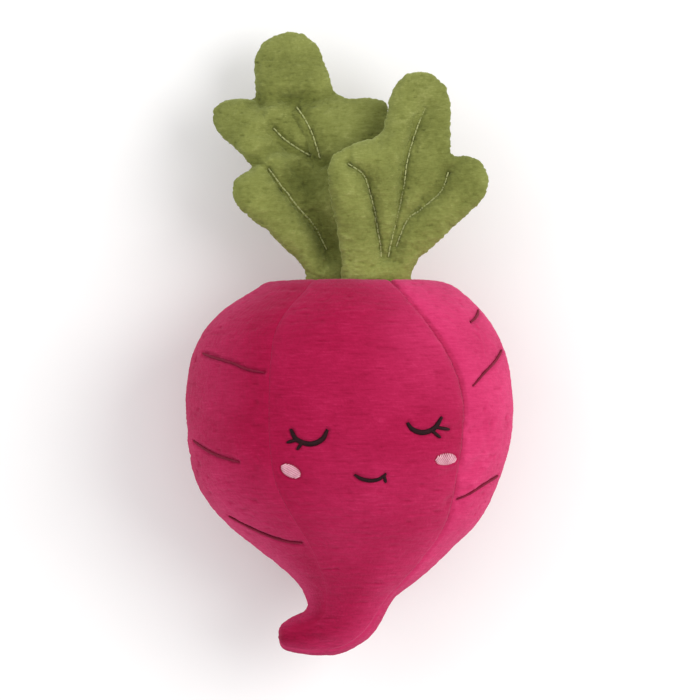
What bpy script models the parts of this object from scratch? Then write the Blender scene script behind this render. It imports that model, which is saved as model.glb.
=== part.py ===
"""A plush radish soft toy, lying on its back with its embroidered face up.

Metres, +Z up. X runs across the toy and Y along it, with the leaves towards +Y and the tail towards -Y.
The middle of the toy's box is at X = Y = 0, and the worn-flat back that it rests on is at Z = 0.
Tables of lengths are in millimetres, and MM turns them into metres.
"""

import math

import bmesh
import bpy
from mathutils import Matrix, Vector
from mathutils.geometry import delaunay_2d_cdt, intersect_point_line

MM = 0.001

# The body: sections along its spine, from the slot in the crown to the tip of the curled tail.
# Each is (x, y, heading in degrees, half width, half depth). A heading of -90 looks down the toy.
SPINE = (
    (2.5, 21.5, -90, 24.0, 11.5),
    (2.5, 24.2, -90, 28.0, 17.0),
    (2.2, 23.6, -90, 34.0, 26.0),
    (1.8, 20.2, -90, 41.0, 33.5),
    (0.8, 14.0, -90, 49.5, 41.5),
    (0.0, 4.5, -90, 56.8, 48.0),
    (0.0, -8.0, -90, 61.6, 52.5),
    (0.0, -23.0, -90, 63.2, 54.0),
    (-0.3, -38.0, -90, 62.2, 53.0),
    (-1.0, -51.0, -90, 59.6, 50.5),
    (-0.3, -61.0, -90, 54.8, 46.0),
    (0.8, -70.5, -90, 47.0, 39.5),
    (1.5, -79.7, -90, 36.8, 31.5),
    (0.6, -89.0, -93, 26.6, 24.0),
    (-1.2, -97.0, -97, 18.4, 17.5),
    (-4.0, -105.2, -110, 14.2, 13.8),
    (-9.6, -110.5, -129, 11.6, 11.4),
    (-15.6, -112.6, -146, 9.6, 9.6),
    (-21.6, -113.4, -162, 7.6, 7.8),
    (-25.8, -113.7, -172, 5.2, 5.6),
    (-27.6, -113.8, -178, 2.4, 2.6),
)
AXIS_HEIGHT = 50.0 * MM  # less than the half depth, so the back lies flat where it rests
TAIL_DROP = 6.0 * MM  # the tail hangs this far below the body's axis
NECK_STATION = 12  # the tail starts at this section

# Seams between the gores, as angles round the section: 0 faces up, 90 faces +X.
# Each seam has its angle at the crown, at the belly and at the tail, because the body is sewn with a twist.
SEAMS = (
    (-30, -29, -24),
    (25, 46, 50),
    (110, 118, 123),
    (186, 190, 195),
    (258, 262, 267),
)
GORES = ("front_panel", "right_side_panel", "back_right_panel", "back_left_panel", "left_side_panel")
CROWN_STATION = 2.0
BELLY_STATION = 7.5
TAIL_STATION = 12.0
SEAM_VALLEY = 0.022  # share of the radius by which a seam pulls in
SEAM_VALLEY_WIDTH = 9.0  # degrees
SEAM_GAP = 0.5 * MM
PLUSH_THICKNESS = 1.6 * MM
GORE_RINGS = 26
GORE_STEPS = 7

# The filling stays inside the plush and below the ends of the leaves.
FILLING_GAP = 0.9 * MM
FILLING_FIRST_STATION = 3.9
FILLING_LAST_STATION = 18.6
FILLING_RINGS = 18
FILLING_SIDES = 24

# Embroidery lies on the plush, with a hair's gap.
THREAD_GAP = 0.35 * MM
EYE_THREAD = 0.8 * MM
MOUTH_THREAD = 0.7 * MM
RING_THREAD = 0.6 * MM
LASH_THREAD = 0.55 * MM

# Each eye is an arc, whose outer end is its first lash, and two more lashes.
EYES = {
    "left_eye_embroidery": (
        ((-8.5, -32.8), (-10.5, -36.4), (-15.0, -38.2), (-20.2, -36.5), (-22.4, -32.7)),
        ((-20.0, -36.6), (-23.8, -37.6)),
        ((-18.0, -37.6), (-20.0, -40.2)),
    ),
    "right_eye_embroidery": (
        ((21.8, -30.2), (23.6, -32.6), (27.6, -33.9), (32.0, -32.3), (34.8, -28.2)),
        ((32.2, -31.8), (37.6, -32.8)),
        ((30.8, -33.0), (34.2, -35.8)),
    ),
}
MOUTH = ((1.8, -49.8), (4.4, -51.4), (8.0, -52.1), (11.2, -51.4), (13.6, -49.5))
MOUTH_TICK = ((12.9, -50.1), (13.5, -52.7))
STROKE_STEPS = 3

# Cheeks are ovals of satin stitch: centre, tilt in degrees.
CHEEKS = {
    "left_cheek_embroidery": ((-22.5, -48.5), -25),
    "right_cheek_embroidery": ((36.4, -44.1), 8),
}
CHEEK_HALF_LENGTH = 4.0 * MM
CHEEK_HALF_WIDTH = 2.3 * MM
CHEEK_HALF_THICKNESS = 0.5 * MM
CHEEK_SEGMENTS = 16
CHEEK_RINGS = 6

# Dark lines that ring a radish's skin, as (angle round the section, y).
RING_STITCHES = {
    "left_ring_stitch_upper": ((-68, -4.0), (-48, -7.3), (-39, -10.0), (-31.5, -11.2)),
    "left_ring_stitch_middle": ((-73, -37.5), (-56, -42.5), (-43, -45.2)),
    "left_ring_stitch_lower": ((-66, -66.5), (-50, -72.6), (-38, -75.4), (-28, -76.0)),
    "right_ring_stitch_upper": ((78, 12.6), (69, 10.4), (59, 8.0)),
    "right_ring_stitch_middle": ((79, -2.8), (70, -5.6), (57, -11.0), (49, -16.2)),
    "right_ring_stitch_lower": ((78, -51.0), (65, -54.0), (50, -60.2)),
}
RING_STEPS = 4

# The hand-sewn end of the back seam, low on the back where it clears the floor.
CLOSING_SEAM = 3
CLOSING_STATIONS = (10.6, 12.6)
CLOSING_STITCHES = 9
CLOSING_HALF_WIDTH = 1.5 * MM
CLOSING_THREAD = 0.3 * MM
CLOSING_LIFT = 1.0 * MM  # height of the thread's centre above the plush

# The leaves: outlines seen from above, clockwise from the right of the base, and stitched veins.
LEAVES = {
    "large_leaf": {
        "outline": (
            (-1.5, 19.0), (-16.4, 19.0), (-17.2, 27.5), (-21.4, 33.2), (-28.4, 41.0), (-36.0, 46.8),
            (-43.0, 52.4), (-45.6, 58.8), (-44.4, 64.0), (-40.2, 66.8), (-38.0, 68.4), (-42.8, 74.4),
            (-50.6, 81.4), (-53.0, 86.8), (-51.8, 92.0), (-47.4, 94.0), (-37.6, 94.6), (-36.4, 99.4),
            (-36.6, 108.8), (-34.0, 115.4), (-28.0, 118.6), (-21.8, 119.9), (-17.0, 118.8), (-12.8, 115.0),
            (-9.8, 109.4), (-7.6, 102.8), (-5.2, 97.2), (-2.0, 95.2), (8.6, 95.2), (13.8, 93.6),
            (15.2, 88.0), (12.0, 80.0), (6.5, 71.0), (9.5, 66.0), (14.0, 58.0), (13.5, 51.0),
            (7.0, 43.0), (1.0, 34.0), (-1.0, 28.0),
        ),
        "veins": {
            "large_leaf_vein_centre": ((-20.8, 91.6), (-16.9, 85.8), (-13.9, 78.9), (-11.6, 71.2)),
            "large_leaf_vein_upper": ((-29.6, 83.2), (-25.4, 78.9), (-20.0, 75.1), (-15.4, 72.6)),
            "large_leaf_vein_lower": ((-31.6, 67.4), (-26.4, 60.4), (-20.4, 52.8), (-14.2, 45.6),
                                      (-9.0, 36.0)),
        },
        "base_height": -4.7,
        "droop": 20.0,
        "curls": (((-44.0, 58.0), 9.0, 22.0),),
    },
    "small_leaf": {
        "outline": (
            (21.0, 19.0), (-2.4, 19.0), (-2.6, 28.0), (-4.4, 42.0), (-7.2, 54.0), (-8.4, 63.0),
            (-7.8, 69.6), (-4.2, 73.6), (3.8, 77.4), (10.6, 79.0), (14.0, 84.6), (15.0, 91.4),
            (17.6, 99.6), (21.4, 103.8), (26.6, 105.2), (32.6, 103.6), (37.0, 99.2), (38.9, 92.6),
            (39.2, 78.0), (39.4, 72.0), (44.0, 71.9), (49.8, 69.2), (52.8, 63.6), (51.8, 57.2),
            (48.2, 53.2), (40.6, 46.4), (30.8, 37.4), (23.4, 29.8),
        ),
        "veins": {
            "small_leaf_vein_centre": ((28.9, 90.4), (26.2, 84.2), (22.4, 72.0), (20.4, 60.0), (17.6, 46.0),
                                       (14.6, 33.0)),
            "small_leaf_vein_left": ((-0.8, 68.8), (5.4, 64.2), (8.5, 55.0), (10.6, 43.6), (12.2, 33.0)),
            "small_leaf_vein_right": ((37.7, 65.8), (34.6, 58.2), (27.0, 51.6), (21.6, 47.0), (17.6, 37.0)),
        },
        "base_height": 4.7,
        "droop": 8.0,
        "curls": (((-8.0, 66.0), 9.0, 20.0), ((52.0, 64.0), 4.0, 20.0)),
    },
}
LEAF_BASE = 19.0 * MM
LEAF_REACH = 100.0 * MM
DROOP_POWER = 1.6
OUTLINE_STEPS = 2
LEAF_PLUSH = 1.4 * MM
LEAF_EDGE = 1.9 * MM  # half the thickness at the sewn edge
LEAF_PUFF = 3.6 * MM  # how much more the filled middle has
LEAF_PUFF_WIDTH = 11.0 * MM
LEAF_PINCH = 0.55  # share of the puff that is left where the base is sewn in
LEAF_PINCH_LENGTH = 25.0 * MM
VEIN_PULL = 0.65
VEIN_PULL_WIDTH = 3.2 * MM
VEIN_THREAD = 0.45 * MM
VEIN_LIFT = 1.0 * MM  # height of the thread's centre above the bottom of its groove
VEIN_STEPS = 3
LEAF_MESH = 7.0 * MM
MESH_CLEARANCE = 0.6 * LEAF_MESH  # between the triangular grid and any line
LEAF_FILLING_INSET = 5.0 * MM
LEAF_FILLING_GAP = 1.6 * MM
LEAF_FILLING_LEAST = 0.4 * MM
NOTCH_SHARE = 0.97  # an inset point that is nearer to the edge than this share of the inset is in a notch

WELD = 0.01 * MM
HALVINGS = 40

COLOURS = {
    "magenta_plush": ((0.44, 0.020, 0.085), 0.95),
    "olive_plush": ((0.20, 0.22, 0.055), 0.95),
    "fibre_fill": ((0.80, 0.79, 0.76), 1.0),
    "black_thread": ((0.030, 0.004, 0.008), 0.6),
    "pink_thread": ((0.74, 0.30, 0.40), 0.5),
    "plum_thread": ((0.20, 0.008, 0.035), 0.6),
    "magenta_thread": ((0.36, 0.015, 0.07), 0.6),
    "olive_thread": ((0.26, 0.28, 0.09), 0.6),
}


# ---------------------------------------------------------------- scene, materials and curves


def start_scene():
    """Empties the scene and makes the collections for the toy and for the shapes that cut or join."""
    for thing in list(bpy.data.objects):
        bpy.data.objects.remove(thing)
    toy = bpy.data.collections.new("plush_radish")
    cutters = bpy.data.collections.new("cutters")
    for collection in (toy, cutters):
        bpy.context.scene.collection.children.link(collection)
    return toy, cutters


def material(node, kind):
    """A Principled material for one sub-part, in the colour of its kind."""
    colour, roughness = COLOURS[kind]
    made = bpy.data.materials.new(f"{node}_{kind}")
    made.use_nodes = True
    shader = made.node_tree.nodes["Principled BSDF"]
    shader.inputs["Base Color"].default_value = (*colour, 1)
    shader.inputs["Roughness"].default_value = roughness
    shader.inputs["Metallic"].default_value = 0
    return made


def new_object(node, mesh, kind, collection):
    """An object with its own material, shaded smooth except at its sharp rims."""
    made = bpy.data.objects.new(node, mesh)
    mesh.materials.clear()
    mesh.materials.append(material(node, kind))
    mesh.shade_smooth()
    collection.objects.link(made)
    return made


def mesh_from(node, vertices, faces):
    mesh = bpy.data.meshes.new(node)
    mesh.from_pydata(vertices, [], faces)
    mesh.update()
    return mesh


def blend(before, start, end, after, share):
    """Catmull-Rom between start and end, for numbers or vectors."""
    return 0.5 * (
        2 * start
        + (end - before) * share
        + (2 * before - 5 * start + 4 * end - after) * share**2
        + (3 * start - before - 3 * end + after) * share**3
    )


def smooth_path(points, steps):
    """Points along a smooth open curve through the given points."""
    points = [Vector(p) for p in points]
    ends = [2 * points[0] - points[1], *points, 2 * points[-1] - points[-2]]
    path = [
        blend(*ends[i : i + 4], k / steps)
        for i in range(len(points) - 1)
        for k in range(steps)
    ]
    return [*path, points[-1]]


def smooth_loop(points, steps):
    """Points along a smooth closed curve through the given points."""
    points = [Vector(p) for p in points]
    count = len(points)
    return [
        blend(*(points[(i + k) % count] for k in (-1, 0, 1, 2)), step / steps)
        for i in range(count)
        for step in range(steps)
    ]


def smooth_step(value):
    value = min(max(value, 0), 1)
    return value * value * (3 - 2 * value)


# ---------------------------------------------------------------- the body's outer surface


def section(station):
    """(centre, side direction, half width, half depth) of the body at a place along its spine."""
    station = min(max(station, 0), len(SPINE) - 1)
    index = min(int(station), len(SPINE) - 2)
    rows = [SPINE[min(max(index + k, 0), len(SPINE) - 1)] for k in (-1, 0, 1, 2)]
    x, y, heading, half_width, half_depth = (
        blend(*column, station - index) for column in zip(*rows)
    )
    drop = TAIL_DROP * smooth_step((station - NECK_STATION) / (len(SPINE) - 1 - NECK_STATION))
    centre = Vector((x * MM, y * MM, AXIS_HEIGHT - drop))
    turn = math.radians(heading)
    side = Vector((-math.sin(turn), math.cos(turn), 0))
    return centre, side, half_width * MM, half_depth * MM


def seam_angle(seam, station):
    crown, belly, tail = SEAMS[seam % len(SEAMS)]
    turns = 360 * (seam // len(SEAMS))
    if station < BELLY_STATION:
        share = smooth_step((station - CROWN_STATION) / (BELLY_STATION - CROWN_STATION))
        return turns + crown + (belly - crown) * share
    share = smooth_step((station - BELLY_STATION) / (TAIL_STATION - BELLY_STATION))
    return turns + belly + (tail - belly) * share


def seam_pull(station, angle):
    """How far the nearest seam draws the surface in, as a share of the radius."""
    away = min(
        abs((angle - seam_angle(k, station) + 180) % 360 - 180) for k in range(len(SEAMS))
    )
    return SEAM_VALLEY * math.exp(-((away / SEAM_VALLEY_WIDTH) ** 2))


def round_point(station, angle):
    """A point on the body before its back is flattened."""
    centre, side, half_width, half_depth = section(station)
    share = 1 - seam_pull(station, angle)
    turn = math.radians(angle)
    across = side * (half_width * share * math.sin(turn))
    return centre + across + Vector((0, 0, half_depth * share * math.cos(turn)))


def outward(station, angle):
    """The body's outward direction, from a small step along the spine and a small turn round it."""
    step, turn = 0.05, 0.5
    first = min(max(station - step, 0), len(SPINE) - 1 - 2 * step)
    along = round_point(first + 2 * step, angle) - round_point(first, angle)
    around = round_point(station, angle + turn) - round_point(station, angle - turn)
    return along.cross(around).normalized()


def body_point(station, angle, offset=0.0):
    """A point on the body's surface, or offset outward from it, with the back flattened at the floor."""
    point = round_point(station, angle) + outward(station, angle) * offset
    point.z = max(point.z, -offset)
    return point


def station_at(y):
    """The place along the spine, below the crown, where the section lies at y."""
    low, high = CROWN_STATION, TAIL_STATION + 1
    for _ in range(HALVINGS):
        middle = (low + high) / 2
        if section(middle)[0].y > y:
            low = middle
        else:
            high = middle
    return low


def face_point(x, y, offset):
    """The point of the body's upper surface at (x, y), offset outward."""
    station = station_at(y)
    centre, _, half_width, _ = section(station)
    angle = math.degrees(math.asin(max(-1, min(1, (x - centre.x) / half_width))))
    return body_point(station, angle, offset)


# ---------------------------------------------------------------- body pieces


def make_gore(number, collection):
    """One gore of the skin: an open patch between two seams, thickened inward."""
    vertices = []
    for ring in range(GORE_RINGS + 1):
        station = (len(SPINE) - 1) * ring / GORE_RINGS
        edges = [seam_angle(number + k, station) for k in (0, 1)]
        margins = []
        for edge in edges:
            pace = (round_point(station, edge + 1) - round_point(station, edge - 1)).length / 2
            margins.append(SEAM_GAP / 2 / pace)
        first, last = edges[0] + margins[0], edges[1] - margins[1]
        vertices += [
            body_point(station, first + (last - first) * k / GORE_STEPS)
            for k in range(GORE_STEPS + 1)
        ]
    row = GORE_STEPS + 1
    faces = [
        (a, a + row, a + row + 1, a + 1)
        for ring in range(GORE_RINGS)
        for a in range(ring * row, ring * row + GORE_STEPS)
    ]
    gore = new_object(GORES[number], mesh_from(GORES[number], vertices, faces), "magenta_plush", collection)
    skin = gore.modifiers.new("plush", "SOLIDIFY")
    skin.thickness = PLUSH_THICKNESS
    skin.offset = -1


def make_body_stuffing(collection):
    """The filling: a loft that follows the skin from inside, closed at both ends."""
    inset = -(PLUSH_THICKNESS + FILLING_GAP)
    shape = bmesh.new()
    rings = []
    for ring in range(FILLING_RINGS + 1):
        share = ring / FILLING_RINGS
        station = FILLING_FIRST_STATION + (FILLING_LAST_STATION - FILLING_FIRST_STATION) * share
        angles = [360 * k / FILLING_SIDES for k in range(FILLING_SIDES)]
        rings.append([shape.verts.new(body_point(station, a, inset)) for a in angles])
    for upper, lower in zip(rings, rings[1:]):
        for k in range(FILLING_SIDES):
            nearby = (k + 1) % FILLING_SIDES
            shape.faces.new((upper[k], upper[nearby], lower[nearby], lower[k]))
    shape.faces.new(rings[0])
    shape.faces.new(rings[-1][::-1])
    bmesh.ops.recalc_face_normals(shape, faces=shape.faces)
    mesh = bpy.data.meshes.new("body_stuffing")
    shape.to_mesh(mesh)
    shape.free()
    new_object("body_stuffing", mesh, "fibre_fill", collection)


# ---------------------------------------------------------------- thread


def thread_mesh(node, path, radius):
    """A closed round thread along a path, as a mesh with its caps welded."""
    curve = bpy.data.curves.new(node, "CURVE")
    curve.dimensions = "3D"
    curve.bevel_depth = radius
    curve.bevel_resolution = 2
    curve.use_fill_caps = True
    spline = curve.splines.new("POLY")
    spline.points.add(len(path) - 1)
    for knot, point in zip(spline.points, path):
        knot.co = (*point, 1)
    guide = bpy.data.objects.new(node, curve)
    bpy.context.scene.collection.objects.link(guide)
    depsgraph = bpy.context.evaluated_depsgraph_get()
    mesh = bpy.data.meshes.new_from_object(guide.evaluated_get(depsgraph))
    bpy.data.objects.remove(guide)
    shape = bmesh.new()
    shape.from_mesh(mesh)
    bmesh.ops.remove_doubles(shape, verts=shape.verts, dist=WELD)
    bmesh.ops.recalc_face_normals(shape, faces=shape.faces)
    shape.to_mesh(mesh)
    shape.free()
    mesh.name = node
    return mesh


def make_stroke(node, strokes, radii, kind, collection, cutters):
    """Strokes of thread on the face, drawn as (x, y) in millimetres and joined into one body."""
    made = None
    for number, (points, radius) in enumerate(zip(strokes, radii)):
        height = radii[0] + THREAD_GAP
        flat = smooth_path([(x * MM, y * MM) for x, y in points], STROKE_STEPS)
        mesh = thread_mesh(node, [face_point(x, y, height) for x, y in flat], radius)
        if made is None:
            made = new_object(node, mesh, kind, collection)
            continue
        branch = new_object(f"{node}_branch_{number}", mesh, kind, cutters)
        branch.hide_render = True
        branch.display_type = "WIRE"
        join = made.modifiers.new(f"branch_{number}", "BOOLEAN")
        join.operation = "UNION"
        join.object = branch


def make_cheek(node, place, tilt, collection):
    """An oval of satin stitch, tangent to the plush, and clear of it where it curves away."""
    _, _, _, half_depth = section(BELLY_STATION)
    height = CHEEK_HALF_THICKNESS + THREAD_GAP + CHEEK_HALF_LENGTH**2 / (2 * half_depth)
    centre = face_point(place[0] * MM, place[1] * MM, height)
    up = (centre - face_point(place[0] * MM, place[1] * MM, 0)).normalized()
    shape = bmesh.new()
    bmesh.ops.create_uvsphere(shape, u_segments=CHEEK_SEGMENTS, v_segments=CHEEK_RINGS, radius=1)
    size = (CHEEK_HALF_LENGTH, CHEEK_HALF_WIDTH, CHEEK_HALF_THICKNESS)
    bmesh.ops.scale(shape, vec=size, verts=shape.verts)
    mesh = bpy.data.meshes.new(node)
    shape.to_mesh(mesh)
    shape.free()
    cheek = new_object(node, mesh, "pink_thread", collection)
    along = Vector((1, 0, 0)) - up * up.x
    along.normalize()
    turn = Matrix((along, up.cross(along), up)).transposed().to_4x4()
    cheek.matrix_world = Matrix.Translation(centre) @ turn @ Matrix.Rotation(math.radians(tilt), 4, "Z")


def make_ring_stitch(node, points, collection):
    """A line of stitches round the side of the body."""
    path = []
    for angle, y in smooth_path(points, RING_STEPS):
        path.append(body_point(station_at(y * MM), angle, RING_THREAD + THREAD_GAP))
    new_object(node, thread_mesh(node, path, RING_THREAD), "plum_thread", collection)


def make_closing_seam(collection):
    """The zigzag of hand stitches that closes the back seam."""
    node = "closing_seam_thread"
    first, last = CLOSING_STATIONS
    path = []
    for k in range(2 * CLOSING_STITCHES + 1):
        station = first + (last - first) * k / (2 * CLOSING_STITCHES)
        angle = seam_angle(CLOSING_SEAM, station)
        pace = (round_point(station, angle + 1) - round_point(station, angle - 1)).length / 2
        swing = CLOSING_HALF_WIDTH / pace * (1 if k % 2 else -1)
        path.append(body_point(station, angle + swing, CLOSING_LIFT))
    new_object(node, thread_mesh(node, path, CLOSING_THREAD), "magenta_thread", collection)


# ---------------------------------------------------------------- leaves


def distance_to(point, path, closed):
    """The shortest distance from a point to a path."""
    pairs = list(zip(path, path[1:]))
    if closed:
        pairs.append((path[-1], path[0]))
    best = math.inf
    for start, end in pairs:
        nearest, share = intersect_point_line(point, start, end)
        if share < 0:
            nearest = start
        elif share > 1:
            nearest = end
        best = min(best, (point - nearest.to_2d()).length)
    return best


def leaf_middle(leaf, point):
    """Height of the leaf's middle surface: it droops towards its tip and curls up at some lobes."""
    share = max(0, (point.y - LEAF_BASE) / LEAF_REACH)
    height = AXIS_HEIGHT + (leaf["base_height"] - leaf["droop"] * share**DROOP_POWER) * MM
    for place, lift, width in leaf["curls"]:
        away = (point - Vector(place) * MM).length / (width * MM)
        height += lift * MM * math.exp(-(away**2))
    return height


def leaf_half(leaf, point):
    """Half the leaf's thickness: thin at the sewn edge, full in the middle, drawn in at veins and base."""
    inside = min(distance_to(point, leaf["edge"], True) / LEAF_PUFF_WIDTH, 1)
    dome = math.sqrt(1 - (1 - inside) ** 2)
    near_vein = min(distance_to(point, path, False) for path in leaf["paths"].values())
    drawn = 1 - VEIN_PULL * math.exp(-((near_vein / VEIN_PULL_WIDTH) ** 2))
    pinch = LEAF_PINCH + (1 - LEAF_PINCH) * smooth_step((point.y - LEAF_BASE) / LEAF_PINCH_LENGTH)
    return LEAF_EDGE + LEAF_PUFF * dome * drawn * pinch


def inset_loop(edge):
    """The edge moved inward, without the stretches that would cross in a notch."""
    inset = []
    for k, point in enumerate(edge):
        along = edge[(k + 1) % len(edge)] - edge[k - 1]
        moved = point + Vector((along.y, -along.x)).normalized() * LEAF_FILLING_INSET
        if distance_to(moved, edge, True) > NOTCH_SHARE * LEAF_FILLING_INSET:
            inset.append(moved)
    return inset


def leaf_plan(edge, inset, paths):
    """Flat triangles that fill a leaf, with corners along its edge, its filling's edge, its veins and a
    triangular grid. The third result holds the triangles that cover the filling."""
    corners = [*edge, *inset]
    loops = [list(range(len(edge)))[::-1], list(range(len(edge), len(corners)))[::-1]]
    lines = []
    for path in paths:
        start = len(corners)
        corners += path
        lines += [(start + k, start + k + 1) for k in range(len(path) - 1)]
    low = Vector((min(p.x for p in edge), min(p.y for p in edge)))
    high = Vector((max(p.x for p in edge), max(p.y for p in edge)))
    rise = LEAF_MESH * math.sqrt(3) / 2
    for row in range(int((high.y - low.y) / rise) + 1):
        for column in range(int((high.x - low.x) / LEAF_MESH) + 1):
            point = Vector((low.x + (column + row % 2 / 2) * LEAF_MESH, low.y + row * rise))
            clear = min(distance_to(point, loop, True) for loop in (edge, inset)) > MESH_CLEARANCE
            if clear and all(distance_to(point, path, False) > MESH_CLEARANCE for path in paths):
                corners.append(point)
    points, _, faces, _, _, sources = delaunay_2d_cdt(corners, lines, loops, 1, WELD)
    used = sorted({k for face in faces for k in face})
    renumber = {old: new for new, old in enumerate(used)}
    faces = [[renumber[k] for k in face] for face in faces]
    filled = [face for face, source in zip(faces, sources) if 1 in source]
    return [points[k] for k in used], faces, filled


def make_leaf_cover(node, leaf, plan, upward, collection):
    """One plush side of a leaf: an open domed sheet, thickened towards the filling."""
    points, faces, _ = plan
    sign = 1 if upward else -1
    vertices = [
        (p.x, p.y, leaf_middle(leaf, p) + sign * leaf_half(leaf, p)) for p in points
    ]
    turned = [face if upward else face[::-1] for face in faces]
    cover = new_object(node, mesh_from(node, vertices, turned), "olive_plush", collection)
    skin = cover.modifiers.new("plush", "SOLIDIFY")
    skin.thickness = LEAF_PLUSH
    skin.offset = -1


def make_leaf_stuffing(node, leaf, plan, collection):
    """The thin pad between a leaf's two sides: a top and a bottom sheet, joined round the edge."""
    points, _, filled = plan
    shape = bmesh.new()
    corners = sorted({k for face in filled for k in face})
    top, bottom = {}, {}
    for sheet, sign in ((top, 1), (bottom, -1)):
        for k in corners:
            half = leaf_half(leaf, points[k]) - LEAF_PLUSH - LEAF_FILLING_GAP
            height = leaf_middle(leaf, points[k]) + sign * max(half, LEAF_FILLING_LEAST)
            sheet[k] = shape.verts.new((*points[k], height))
    for face in filled:
        shape.faces.new([top[k] for k in face])
        shape.faces.new([bottom[k] for k in reversed(face)])
    rim = [edge for edge in shape.edges if edge.is_boundary and edge.verts[0] in set(top.values())]
    for edge in rim:
        a, b = (next(k for k in corners if top[k] == vert) for vert in edge.verts)
        shape.faces.new((top[a], top[b], bottom[b], bottom[a]))
    bmesh.ops.recalc_face_normals(shape, faces=shape.faces)
    mesh = bpy.data.meshes.new(node)
    shape.to_mesh(mesh)
    shape.free()
    new_object(node, mesh, "fibre_fill", collection)


def make_vein(node, leaf, path, collection):
    """The thread of a vein, along the groove that it draws in the leaf's upper side."""
    line = [
        (p.x, p.y, leaf_middle(leaf, p) + leaf_half(leaf, p) + VEIN_LIFT) for p in path
    ]
    new_object(node, thread_mesh(node, line, VEIN_THREAD), "olive_thread", collection)


def make_leaf(name, leaf, collection):
    leaf["edge"] = smooth_loop([(x * MM, y * MM) for x, y in leaf["outline"]], OUTLINE_STEPS)
    leaf["paths"] = {
        node: smooth_path([(x * MM, y * MM) for x, y in points], VEIN_STEPS)
        for node, points in leaf["veins"].items()
    }
    plan = leaf_plan(leaf["edge"], inset_loop(leaf["edge"]), list(leaf["paths"].values()))
    make_leaf_cover(f"{name}_front", leaf, plan, True, collection)
    make_leaf_cover(f"{name}_back", leaf, plan, False, collection)
    make_leaf_stuffing(f"{name}_stuffing", leaf, plan, collection)
    for node, path in leaf["paths"].items():
        make_vein(node, leaf, path, collection)


# ---------------------------------------------------------------- the toy


def main():
    toy, cutters = start_scene()
    for number in range(len(GORES)):
        make_gore(number, toy)
    make_body_stuffing(toy)
    for node, strokes in EYES.items():
        make_stroke(node, strokes, (EYE_THREAD, LASH_THREAD, LASH_THREAD), "black_thread", toy, cutters)
    mouth_threads = (MOUTH_THREAD, LASH_THREAD)
    make_stroke("mouth_embroidery", (MOUTH, MOUTH_TICK), mouth_threads, "black_thread", toy, cutters)
    for node, (place, tilt) in CHEEKS.items():
        make_cheek(node, place, tilt, toy)
    for node, points in RING_STITCHES.items():
        make_ring_stitch(node, points, toy)
    make_closing_seam(toy)
    for name, leaf in LEAVES.items():
        make_leaf(name, leaf, toy)


main()
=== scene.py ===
"""The looks of a plush radish soft toy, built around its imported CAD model.

It lies on its back with its embroidered face up. X runs across it, Y from its tail to its leaves, and Z up.
The script works in metres, and MM turns the millimetres of its tables into metres.
"""

import itertools
import math

import bpy
import numpy as np
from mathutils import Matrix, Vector
from mathutils.bvhtree import BVHTree
from mathutils.geometry import delaunay_2d_cdt
from mathutils.kdtree import KDTree


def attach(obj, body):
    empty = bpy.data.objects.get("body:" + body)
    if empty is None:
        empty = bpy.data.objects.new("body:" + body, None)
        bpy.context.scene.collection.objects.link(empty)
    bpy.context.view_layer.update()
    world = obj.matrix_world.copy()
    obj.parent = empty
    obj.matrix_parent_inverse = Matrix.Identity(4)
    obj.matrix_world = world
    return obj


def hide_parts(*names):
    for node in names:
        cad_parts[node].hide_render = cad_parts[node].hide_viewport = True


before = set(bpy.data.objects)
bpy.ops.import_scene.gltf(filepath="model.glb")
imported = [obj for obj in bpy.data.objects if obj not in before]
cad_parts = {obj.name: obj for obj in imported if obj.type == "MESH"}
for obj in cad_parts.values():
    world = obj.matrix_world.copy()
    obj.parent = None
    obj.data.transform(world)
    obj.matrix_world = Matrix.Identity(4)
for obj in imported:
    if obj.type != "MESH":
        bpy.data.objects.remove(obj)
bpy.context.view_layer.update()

MM = 0.001
UP = np.array((0.0, 0.0, 1.0))

# ---- design: the body

# Sections along the body's spine, from the fold that closes under the leaves to the tip of the curled tail.
# Each is (x, y, heading in degrees, half width, half depth). A heading of -90 looks down the toy.
SPINE = (
    (2.5, 14.2, -90, 3.0, 0.8),
    (2.5, 17.0, -90, 21.8, 9.0),
    (2.5, 22.6, -90, 24.5, 12.0),
    (2.5, 24.0, -90, 28.5, 17.5),
    (2.2, 23.4, -90, 34.0, 26.0),
    (2.6, 19.9, -90, 39.4, 33.2),
    (1.0, 13.6, -90, 48.4, 41.2),
    (-0.5, 4.3, -90, 56.5, 47.8),
    (-0.3, -8.0, -90, 61.2, 52.5),
    (-0.2, -23.0, -90, 63.0, 54.0),
    (-0.6, -38.0, -90, 61.9, 53.0),
    (-1.2, -51.0, -90, 59.1, 50.5),
    (-0.6, -61.0, -90, 54.7, 46.0),
    (0.8, -70.5, -90, 47.6, 39.8),
    (1.6, -79.7, -90, 37.8, 32.0),
    (0.8, -89.0, -93, 27.6, 24.4),
    (-1.0, -97.0, -97, 19.2, 17.8),
    (-4.0, -105.2, -110, 14.8, 13.8),
    (-9.5, -110.1, -129, 11.5, 11.4),
    (-15.6, -112.2, -146, 9.1, 9.4),
    (-21.6, -113.0, -162, 7.0, 7.6),
    (-25.8, -113.4, -172, 4.9, 5.5),
    (-27.4, -113.4, -178, 2.4, 2.6),
    (-27.9, -113.4, -180, 0.5, 0.5),
)
AXIS_HEIGHT = 50.0 * MM
TAIL_DROP = 6.0 * MM
CROWN_STATION = 4.0
BELLY_STATION = 9.5
NECK_STATION = 14.0

# Seams between the gores, as angles round the section at the crown, the belly and the tail.
SEAMS = ((-30, -29, -24), (25, 46, 50), (110, 118, 123), (186, 190, 195), (258, 262, 267))
GORES = ("front_panel", "right_side_panel", "back_right_panel", "back_left_panel", "left_side_panel")

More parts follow.
